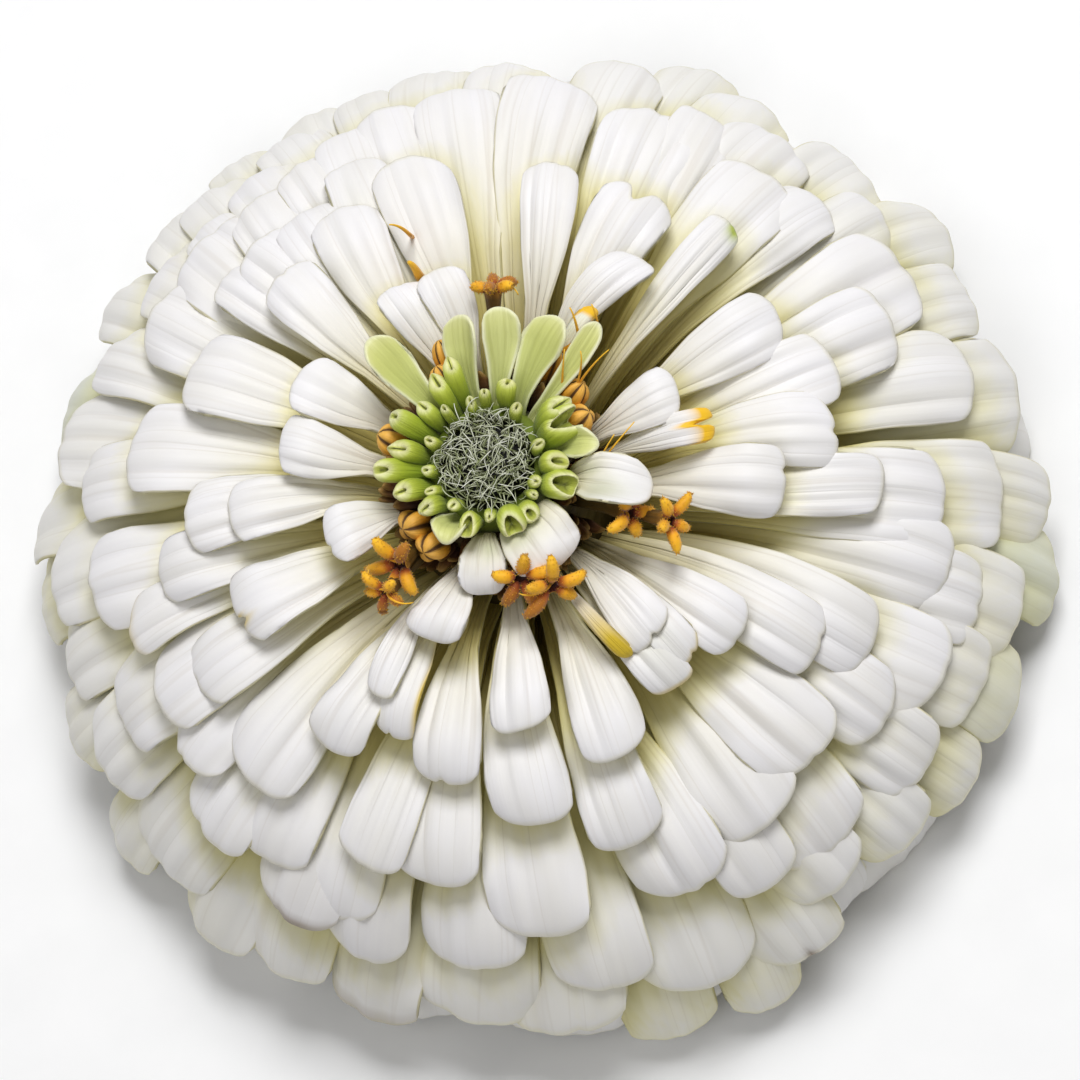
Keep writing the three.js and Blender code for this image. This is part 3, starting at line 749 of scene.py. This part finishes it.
def chaff_material():
    """Bristles that run from near black at the foot, painted shade down in the tangle, through olive to
    silver, each with its own lightness.
    """
    graph = Graph("grey_chaff")
    own = graph.facts()[0]
    grain = graph.texture(3, 9, graph.times(own, 40.0))
    colour = graph.ramp(graph.places()[1], [
        (0.0, (0.002, 0.002, 0.001)), (0.2, (0.14, 0.15, 0.06)), (0.45, (0.62, 0.64, 0.5)),
        (1.0, (0.97, 0.97, 0.93)),
    ])
    shade = graph.ramp(own, [(0.0, (0.3, 0.35, 0.14)), (0.4, (0.75, 0.78, 0.64)), (0.75, 1)])
    colour = graph.tint(1.0, colour, shade)
    rough = graph.between(grain, 0.4, 0.6)
    return graph.finish(colour, rough, grain, 0.04, Specular_IOR_Level=0.15)


def green_material(name, stops, sheen):
    """Skin of stem, bracts and receptacle, with lengthwise lines in the colours of the stops."""
    graph = Graph(name)
    seed = graph.times(graph.facts()[0], 40.0)
    lines = graph.texture(22, 1.5, seed, 3.0)
    grain = graph.texture(70, 30, seed)
    colour = graph.marked(graph.ramp(lines, stops))
    height = graph.maths("ADD", lines, graph.times(grain, 0.4))
    rough = graph.between(grain, 0.5, 0.7)
    return graph.finish(colour, rough, height, 0.15, Sheen_Weight=sheen, Specular_IOR_Level=0.35)


# A map of the highest points over the bloom, and where and how far above itself a point looks for petals, for
# the painted shade under them
PAINTED_SHADE_MAP = {"reach": 60, "cell": 0.8, "rings": (0.8, 1.6, 2.6), "turn": 45, "depths": (1.6, 6.5)}


def find_painted_shade(shapes):
    """Sets the painted shade on each point, from 0 to 1, by how far it is under the petals round about and
    above it.
    """
    def cells(spots):
        across, along = ((spots + PAINTED_SHADE_MAP["reach"]) / PAINTED_SHADE_MAP["cell"]).astype(int).T
        return across, along

    size = int(2 * PAINTED_SHADE_MAP["reach"] / PAINTED_SHADE_MAP["cell"])
    clouds = [np.concatenate(shape.points) for shape in shapes]
    top = np.full((size, size), -1.0)
    for cloud in clouds:
        np.maximum.at(top, cells(cloud[:, :2]), cloud[:, 2])
    shifts = [(i, j) for i in (-1, 0, 1) for j in (-1, 0, 1)]
    top = np.max([np.roll(top, shift, axis=(0, 1)) for shift in shifts], axis=0)
    turns = range(0, 360, PAINTED_SHADE_MAP["turn"])
    ring = [polar(turn, radius)[:2] for radius in PAINTED_SHADE_MAP["rings"] for turn in turns]
    for shape, cloud in zip(shapes, clouds):
        depths = [top[cells(cloud[:, :2] + offset)] - cloud[:, 2] for offset in ring]
        shape.painted_shade = [np.mean([smooth_step(*PAINTED_SHADE_MAP["depths"], depth) for depth in depths], axis=0)]


# What every petal draws for itself, between these limits
DRAWN = {
    "cap": (0.3, 0.5), "bluntness": (2.2, 3.1), "lean": (-0.09, 0.09), "camber": (0.07, 0.18),
    "roll": (2, 10), "twist": (-5, 5), "bow": (-1, 1), "curl": (0.7, 2.3), "ripple": (0.1, 0.55),
    "phase": (0, 6), "random": (0, 1),
}


def petal_form(azimuth, reach, draw):
    """Small differences between petals, drawn from the seed, and the special ones on top."""
    count = draw.choice((2, 2, 3, 3, 4))
    step = 1.5 / count
    grooves = [
        (step * (k + 0.5) - 0.75 + draw.uniform(-0.09, 0.09), draw.uniform(0.03, 0.09))
        for k in range(count)
    ]
    notches = []
    if draw.random() < 0.3:
        notches = [(draw.uniform(-0.35, 0.35), 0.13, draw.uniform(0.15, 0.5))]
    form = {key: draw.uniform(*limits) for key, limits in DRAWN.items()}
    form.update(grooves=grooves, notches=notches)
    if reach > LONGER_REACH:
        broad = BROAD_SIDE[0] < azimuth < BROAD_SIDE[1]
        form["profile"] = BROAD_PROFILE if broad else LONGER_PROFILE
    return {**form, **SPECIALS.get((azimuth, reach), {})}


def make_petals():
    """The petals in four pieces, from the innermost to the rim, so that none has too many triangles."""
    draw = random.Random(8)
    material = petal_material()
    names = ("petals_inner", "petals_upper", "petals_lower", "petals_rim")
    shapes = [Shape() for _ in names]
    share = math.ceil((len(PETALS) + SKIRT["count"]) / len(names))
    for i, (azimuth, reach, width) in enumerate(PETALS):
        form = petal_form(azimuth, reach, draw)
        spine = petal_spine(azimuth, reach)
        add_blade(shapes[i // share], spine, petal_width(reach, width), form, smooth_step(*OLD_REACH, reach))
    find_painted_shade(shapes)
    for i in range(SKIRT["count"]):
        azimuth = SKIRT["first"] + i * GOLDEN_ANGLE
        raised = 0 if i < SKIRT["lowest"] else draw.uniform(*SKIRT["raised"])
        tip = (SKIRT["reach"] + draw.uniform(-0.6, 0.6) - raised * 0.4, raised - 0.3)
        launch = SKIRT["launch"] + 2 * raised
        spine = Spine(azimuth, SKIRT["root"], launch, tip, SKIRT["fall"], reach_out=0.45)
        form = petal_form(azimuth, 0, draw)
        add_blade(shapes[-1], spine, SKIRT["width"], form, SKIRT["age"], rows=26, columns=21)
    for name, shape in zip(names, shapes):
        shape.build(name, material, "petal_white", "ray_petals")


def make_receptacle():
    """The part of the receptacle that the petals grow from, with low swellings, sunk into the base."""
    shape = Shape()
    sunk = BASE_HEIGHT - 0.3
    profile = [(CENTRE, sunk, 0), (BASE_RADIUS - 0.6, sunk, 0)]
    for height in np.linspace(RAY_BAND["bottom"], RAY_BAND["top"], 30):
        swelling = 0.15 * math.sin(height * 3.1) - 0.1
        profile.append((band_radius(RAY_BAND, height) + swelling, height, height / 20))
    lathe(shape, [*profile, (CENTRE, RAY_BAND["top"], 1)])
    # Near black: painted shade in the deep gaps between the petals' roots.
    dark = green_material("dark_receptacle", (
        (0.3, (0.02, 0.012, 0.005)), (0.55, (0.07, 0.05, 0.015)), (0.75, (0.16, 0.13, 0.04)),
    ), 0.0)
    shape.build("receptacle", dark, "stem_green", "ray_petals")


def add_spoons(shape, draw):
    for azimuth, reach, width in SPOONS:
        spine = floret_spine(YOUNG_BAND, azimuth, reach, **SPOON)
        form = {
            "profile": ((0, 0.34), (0.3, 0.42), (0.5, 0.66), (0.72, 1), (0.9, 0.98), (1, 0.8)),
            "channel": draw.uniform(0.16, 0.26), "camber": draw.uniform(-0.24, -0.08),
            "cap": draw.uniform(0.4, 0.75), "half": 0.22, "curl": draw.uniform(0.2, 0.9), "ripple": 0.3,
            "grooves": [(-0.3, 0.025), (0.3, 0.025)], "phase": draw.uniform(0, 6), "random": draw.random(),
            "roll": draw.uniform(-16, 16), "twist": draw.uniform(-14, 14), "bow": draw.uniform(-0.5, 0.5),
            "marks": [
                (-1, 0.8, 0.1, 0.5, CREAM, 1), (1, 0.8, 0.1, 0.5, CREAM, 1), (0, 1.01, 2, 0.03, CREAM, 1),
                (0, 0.3, 0.5, 0.35, MOSSY, 0.35),
            ],
            **SPECIALS.get((azimuth, reach), {}),
        }
        add_blade(shape, spine, width * 0.9, form, draw.uniform(0.65, 1), rows=24, columns=17, painted=0.62)


def tube_stations(mouth):
    """Place along, radius as a share of the largest, and second UV, to the rim and back inside."""
    return [
        (0, 0.62, 0), (0.2, 0.7, 0.12), (0.4, 0.82, 0.24), (0.6, 0.95, 0.34), (0.78, 1, 0.44),
        (0.88, 0.97, 0.5), (0.94, 0.86, 0.56), (0.98, mix(0.6, 0.84, mouth), 0.62),
        (1, mix(0.36, 0.84, mouth), 0.66), (0.995, mix(0.2, 0.78, mouth), 0.7), (0.97, mouth, 0.8),
        (mix(0.95, 0.84, mouth), mouth * 0.8, 0.93), (mix(0.94, 0.8, mouth), 0.1, 1),
    ]


def add_tubes(shape, draw):
    """Rolled young florets: outer ones that lean out, and smaller upright ones round the chaff."""
    for azimuth, reach, width in TUBES + RING_TUBES:
        outer = (azimuth, reach, width) in TUBES
        tube = OUTER_TUBE if outer else RING_TUBE
        half = width * tube["stoutness"]
        mouth, lobes = OPENED.get((azimuth, reach), (draw.uniform(0.05, 0.17), draw.uniform(0, 0.1)))
        tip = (reach, draw.uniform(*tube["tips"]))
        fall = draw.uniform(*tube["falls"]) if outer else tube["fall"]
        spine = Spine(azimuth, tube["root"], tube["launch"], tip, fall, reach_in=0.4)
        stations = [(along, radius * half, place) for along, radius, place in tube_stations(mouth)]
        own = draw.random()
        ribs = (draw.choice((1, 2, 3)), draw.uniform(0.06, 0.16))
        slant = draw.uniform(-0.95, -0.3) * half
        add_shaft(shape, spine, stations, 16, ribs, own, slant=slant, lobes=lobes)


def make_young_florets():
    draw = random.Random(21)
    shape, white = Shape(), Shape()
    add_spoons(shape, draw)
    add_tubes(shape, draw)
    lathe_band(shape, YOUNG_BAND, 0.1)
    for azimuth, width, root, launch, tip, fall, form in YOUNG_PETALS:
        spine = Spine(azimuth, root, launch, tip, fall, reach_in=0.55, reach_out=0.5)
        profile = ((0, 0.3), (0.25, 0.5), (0.5, 0.92), (0.7, 1), (1, 0.85))
        form = {"profile": profile, "half": 0.25, "curl": 0.3, **form}
        add_blade(white, spine, width, form, 0)
    lime = floret_material("lime_floret", [
        (0.0, (0.1, 0.12, 0.02)), (0.2, (0.24, 0.34, 0.02)), (0.42, (0.4, 0.5, 0.035)),
        (0.54, (0.5, 0.58, 0.08)), (0.67, (0.82, 0.82, 0.46)), (0.76, (0.6, 0.64, 0.16)),
        (0.92, (0.42, 0.47, 0.06)), (1.0, (0.16, 0.18, 0.02)),
    ], 7, 0.45, 0.1, (0.76, 0.76, 0.38), 0.72)
    shape.build("young_florets_fine", lime, "floret_lime", "young_florets")
    white.build("young_petals", bpy.data.materials["white_petal"], "petal_white", "young_florets")


def add_fuzz(hairs, path, radii, draw):
    """Short hairs that stand off a lobe all round, left out where they would run along inside it."""
    heading = unit(np.gradient(path, axis=0))
    for _ in range(HAIR["count"]):
        at = draw.randrange(1, len(path))
        away = unit(np.array([draw.gauss(0, 1) for _ in range(3)]))
        length, own = draw.uniform(*HAIR["lengths"]), draw.random()
        forward = away.dot(heading[at])
        if abs(forward) > HAIR["steepest"]:
            continue
        foot = path[at] + unit(away - forward * heading[at]) * radii[at] * 0.85
        tip = foot + away * length
        add_thread(hairs, [foot, (foot + tip) / 2, tip], HAIR["radius"], 0.35, 3, own)


def add_open_floret(shape, lobes, hairs, spine, half, draw):
    """A tube that opens into five fuzzy lobes round a dark throat."""
    add_shaft(shape, spine, [
        (0, 0.5, 0), (0.4, 0.45, 0.05), (0.66, 0.5, 0.1), (0.84, 0.66 * half, 0.2),
        (0.92, 0.8 * half, 0.35), (0.93, 0.66 * half, 0.9), (0.86, 0.4 * half, 1), (0.82, 0.1, 1),
    ], 20, (5, 0.1), draw.random())
    centre, direction, normal = (row[0] for row in spine.frames([0.91]))
    for k in range(5):
        turn = 2 * math.pi * (k + draw.uniform(-0.25, 0.25)) / 5
        side = math.cos(turn) * spine.across + math.sin(turn) * normal
        start = centre + side * 0.6 * half
        length, turns = half * draw.uniform(1.4, 2.7), draw.uniform(0.12, 0.3)
        path = curl_path(start, side * 0.9 + direction, side - direction, length, turns)
        share = np.linspace(0, 1, len(path))
        radii = 0.42 * half * (0.8 + 0.42 * np.sin(math.pi * share**0.9)) * np.sqrt(1 - share**9 * 0.75)
        add_thread(lobes, path, radii, 1, 9, draw.random(), draw.choice((0, 0, 0.2, 1)))
        add_fuzz(hairs, path, radii, draw)


def add_bud(shape, spine, half, draw):
    """A closed floret with brown grooves, thicker near its tip."""
    stations = [
        (0, 0.6, 0), (0.3, 0.6, 0.1), (0.45, 0.72, 0.2), (0.58, 0.9 * half, 0.35),
        (0.7, 1.03 * half, 0.45), (0.82, 1.02 * half, 0.55), (0.91, 0.84 * half, 0.62),
        (0.97, 0.55 * half, 0.66), (1, 0.2 * half, 0.68),
    ]
    ribs = (draw.choice((4, 5, 5)), 0.22)
    add_shaft(shape, spine, stations, 40, ribs, draw.random(), (BROWN, 4))


def add_styles(styles, spine, draw):
    """Up to two thin branches that curl out of an open floret."""
    centre, direction, normal = (row[0] for row in spine.frames([0.88]))
    for side in draw.choice(((-1, 1), (1,), (-1,), ())):
        lean = direction + side * 0.35 * spine.across + 0.3 * normal
        path = curl_path(centre, lean, side * spine.across - direction, draw.uniform(3, 4.6), 0.42, 12)
        add_thread(styles, path, 0.17, 0.35, 6, draw.random())


def make_disc_florets():
    draw = random.Random(4)
    shape, lobes, hairs, styles = Shape(), Shape(), Shape(), Shape()
    for azimuth, reach, width in BUDS:
        add_bud(shape, floret_spine(DISC_BAND, azimuth, reach, **DISC_FLORET), width / 2, draw)
    for azimuth, reach, width in OPEN_FLORETS:
        spine = floret_spine(DISC_BAND, azimuth, reach, **DISC_FLORET)
        add_open_floret(shape, lobes, hairs, spine, width / 2, draw)
        add_styles(styles, spine, draw)
    for radius, *stations in THREADS:
        *root, foot, middle, tip = (polar(*station) for station in stations)
        share = np.linspace(0, 1, 9)[:, None]
        path = foot * (1 - share) ** 2 + 2 * middle * share * (1 - share) + tip * share**2
        add_thread(styles, [*root, *path], radius, 0.35, 6, draw.random())
    lathe_band(shape, DISC_BAND, 0.05)
    orange = floret_material("orange_floret", [
        (0.0, (0.05, 0.04, 0.01)), (0.2, (0.14, 0.07, 0.01)), (0.4, (0.55, 0.24, 0.02)),
        (0.52, (0.8, 0.36, 0.03)), (0.68, (0.92, 0.52, 0.1)), (0.85, (0.25, 0.05, 0.02)),
        (1.0, (0.04, 0.01, 0.01)),
    ], 7, 0.5, 0.0)
    fuzzy = floret_material("orange_lobe", [
        (0.0, (0.12, 0.015, 0.01)), (0.2, (0.5, 0.12, 0.01)), (0.36, (0.93, 0.44, 0.01)),
        (1.0, (1, 0.57, 0.02)),
    ], 5, 0.6, 0.2, (0.3, 0.06, 0.01), 0.75)
    yellow = floret_material("orange_fuzz", [
        (0.0, (0.9, 0.4, 0.01)), (1.0, (1, 0.6, 0.03)),
    ], 4, 0.6, 0.2)
    shape.build("disc_florets_fine", orange, "floret_orange", "disc_florets")
    lobes.build("floret_lobes", fuzzy, "floret_orange", "disc_florets")
    hairs.build("floret_fuzz", yellow, "floret_orange", "disc_florets")
    styles.build("styles", yellow, "floret_orange", "disc_florets")


def make_chaff():
    """A low dome under bristles that lean and wriggle every way, near black as painted shade under them."""
    draw = random.Random(5)
    shape = Shape()
    wide, top, bottom = CHAFF_BAND["wide"], CHAFF_BAND["top"], CHAFF_BAND["bottom"]
    lathe(shape, [
        (CENTRE, bottom, 0), (wide, bottom, 0), (wide * 0.97, mix(bottom, top, 0.3), 0),
        (wide * 0.75, top - 0.6, 0), (wide * 0.4, top - 0.15, 0), (CENTRE, top, 0),
    ])
    for i in range(BRISTLES["count"]):
        radius = (wide - 0.25) * math.sqrt((i + 0.5) / BRISTLES["count"])
        outward = polar(i * GOLDEN_ANGLE, 1)
        foot = polar(i * GOLDEN_ANGLE, radius, top - 1.1 * (radius / wide) ** 2 - 0.3)
        lean = outward * draw.uniform(-0.3, 0.7) + np.array([draw.gauss(0, 0.3), draw.gauss(0, 0.3), 1])
        bend = np.array([draw.gauss(0, 1), draw.gauss(0, 1), draw.gauss(0, 0.4)])
        path = curl_path(foot, lean, bend, draw.uniform(*BRISTLES["lengths"]), draw.uniform(0.3, 1), 10)
        add_thread(shape, path, draw.uniform(*BRISTLES["radii"]), 0.4, 4, draw.random())
    shape.build("chaff_fine", chaff_material(), "chaff_grey", "chaff")


def make_scales():
    """Dark pointed scales that stand between the florets all round the disc."""
    draw = random.Random(12)
    shape = Shape()
    low, rows = SCALES["lowest"], SCALES["rows"]
    for i in range(SCALES["count"]):
        height = mix(low, SCALES["highest"], i % rows / (rows - 1)) + draw.uniform(-0.4, 0.4)
        root = mix(*SCALES["roots"], (height - low) / SCALES["rise"])
        reach = root + draw.uniform(2, 3.8)
        spine = Spine(i * GOLDEN_ANGLE, (root, height), 60, (reach, height + draw.uniform(1.5, 2.7)), -20)
        form = {
            "profile": ((0, 0.7), (0.5, 1), (0.8, 0.7), (1, 0.25)), "channel": 0.05, "camber": 0.15,
            "cap": 0.3, "half": 0.12, "curl": draw.uniform(-0.6, 0.3), "twist": draw.uniform(-25, 25),
            "grooves": [(0, 0.07)], "roll": 0, "random": draw.random(),
        }
        add_blade(shape, spine, draw.uniform(1.1, 1.7), form, 0, rows=10, columns=7)
    dark = floret_material("dark_scale", [
        (0.0, (0.015, 0.01, 0.005)), (0.5, (0.05, 0.02, 0.012)), (0.8, (0.14, 0.06, 0.02)),
        (1.0, (0.42, 0.26, 0.08)),
    ], 6, 0.45, 0.0)
    shape.build("dark_scales", dark, "chaff_grey", "disc_florets")


def make_base():
    """The cut stem, the green base and its rows of rounded bracts with a dark dry margin."""
    draw = random.Random(3)
    shape, hairs = Shape(), Shape()
    profile = [
        (CENTRE, STEM_END + 0.5, 0.05), (1.1, STEM_END + 0.35, 0.05), (1.4, STEM_END + 0.05, 0.05),
        (STEM_RADIUS - 0.25, STEM_END, 0.08), (STEM_RADIUS, STEM_END + 0.3, 0.1),
        (STEM_RADIUS, 3, 0.2), (STEM_RADIUS + 0.3, 4.4, 0.3), (STEM_RADIUS + 1.1, 5.8, 0.4),
        (5.8, 7, 0.5), (7.4, 8.4, 0.6), (8.9, 10.2, 0.7), (9.8, 11.8, 0.8), (BASE_RADIUS, 13.4, 0.9),
        (BASE_RADIUS, BASE_HEIGHT, 1), (CENTRE, BASE_HEIGHT, 1),
    ]
    lathe(shape, profile, 48)
    rows = [  # of bracts, as their number, root, tip and width
        (6, (4, 4.6), (8.6, 8.6), 4.8),
        (8, (6.6, 7.4), (10.8, 11.4), 6.2),
        (10, (8.6, 10.2), (11.9, 14.2), 6.4),
    ]
    for count, root, tip, width in rows:
        for i in range(count):
            spine = Spine(i * 360 / count, root, 30, tip, -62)
            form = {
                "profile": ((0, 0.75), (0.4, 0.95), (0.7, 1), (1, 0.85)),
                "channel": 0.1, "camber": -0.1, "cap": 0.42, "bluntness": 2.1, "half": 0.32, "curl": 0,
                "roll": 0, "ripple": 0.06, "grooves": [(0, 0.01)], "random": draw.random(),
                "marks": [
                    (0, 1.03, 2, 0.1, DRIED, 3),
                    (-1, 0.9, 0.1, 0.3, DRIED, 2), (1, 0.9, 0.1, 0.3, DRIED, 2),
                ],
            }
            add_blade(shape, spine, width, form, 0, rows=18, columns=17)
    for _ in range(STEM_HAIRS["count"]):
        azimuth, height = draw.uniform(0, 360), draw.uniform(STEM_END + 0.5, STEM_HAIRS["top"])
        foot = polar(azimuth, STEM_RADIUS - 0.1, height)
        ends = foot + polar(azimuth, 1, draw.uniform(-0.2, 0.5)) * draw.uniform(*STEM_HAIRS["lengths"])
        path = [foot, (foot + ends) / 2, ends]
        add_thread(hairs, path, STEM_HAIRS["radius"], 0.3, 3, draw.random())
    green = green_material("green_base", (
        (0.3, (0.1, 0.17, 0.03)), (0.55, (0.2, 0.29, 0.06)), (0.75, (0.33, 0.4, 0.12)),
    ), 0.2)
    shape.build("base_and_bracts", green, "stem_green", "stem_and_bracts")
    pale = floret_material("pale_hair", [(0.0, (0.4, 0.46, 0.2)), (1.0, (0.7, 0.72, 0.55))], 3, 0.5, 0.2)
    hairs.build("stem_hairs", pale, "stem_green", "stem_and_bracts")


CAMERA = {"elevation": 74.5, "roll": -32, "distance": 500, "lens": 168, "target": (0.87, 0.65, 7)}
FLOOR_REACH = 3.0  # metres from the middle to each side


def make_camera():
    data = bpy.data.cameras.new("camera")
    data.lens = CAMERA["lens"]
    data.sensor_width = 36
    data.clip_start = 0.01
    camera = link("camera", data)
    tilt = Matrix.Rotation(math.radians(90 - CAMERA["elevation"]), 4, "X")
    turn = tilt @ Matrix.Rotation(math.radians(CAMERA["roll"]), 4, "Z")
    spot = (Vector(CAMERA["target"]) + turn.col[2].xyz * CAMERA["distance"]) * MM
    camera.matrix_world = Matrix.Translation(spot) @ turn
    bpy.context.scene.camera = camera


def make_light(name, azimuth, elevation, distance, size, power):
    """A square soft light aimed at the bloom, with azimuth as for the petals, metres and watts."""
    elevation = math.radians(elevation)
    toward = Vector(polar(azimuth, math.cos(elevation), math.sin(elevation)))
    data = bpy.data.lights.new(name, "AREA")
    data.shape = "SQUARE"
    data.size = size
    data.energy = power
    light = link(name, data)
    light.location = toward * distance + Vector((0, 0, 0.02))
    light.rotation_euler = toward.to_track_quat("Z", "Y").to_euler()


def make_studio():
    floor_mesh = bpy.data.meshes.new("floor")
    corners = [(-1, -1, 0), (1, -1, 0), (1, 1, 0), (-1, 1, 0)]
    floor_mesh.from_pydata((np.array(corners) * FLOOR_REACH).tolist(), [], [(0, 1, 2, 3)])
    floor = link("floor", floor_mesh)
    graph = Graph("white_floor")
    spots = graph.add("TexCoord").outputs["Object"]
    grain = graph.noise(spots, 180.0)
    colour = graph.ramp(grain, [(0.2, (0.93, 0.935, 0.95)), (0.8, (0.96, 0.965, 0.98))])
    floor_mesh.materials.append(graph.finish(colour, 0.9, grain, 0.02))

    world = bpy.data.worlds.new("studio")
    world.use_nodes = True
    backdrop = world.node_tree.nodes["Background"]
    backdrop.inputs["Color"].default_value = (1, 0.98, 0.93, 1)
    backdrop.inputs["Strength"].default_value = 0.24
    bpy.context.scene.world = world
    bpy.context.scene.view_settings.view_transform = "Standard"
    make_light("key", azimuth=45, elevation=64, distance=0.8, size=0.34, power=4.95)
    make_light("fill", azimuth=215, elevation=64, distance=0.9, size=0.6, power=1.6)


make_petals()
make_receptacle()
make_young_florets()
make_disc_florets()
make_chaff()
make_scales()
make_base()
make_camera()
make_studio()
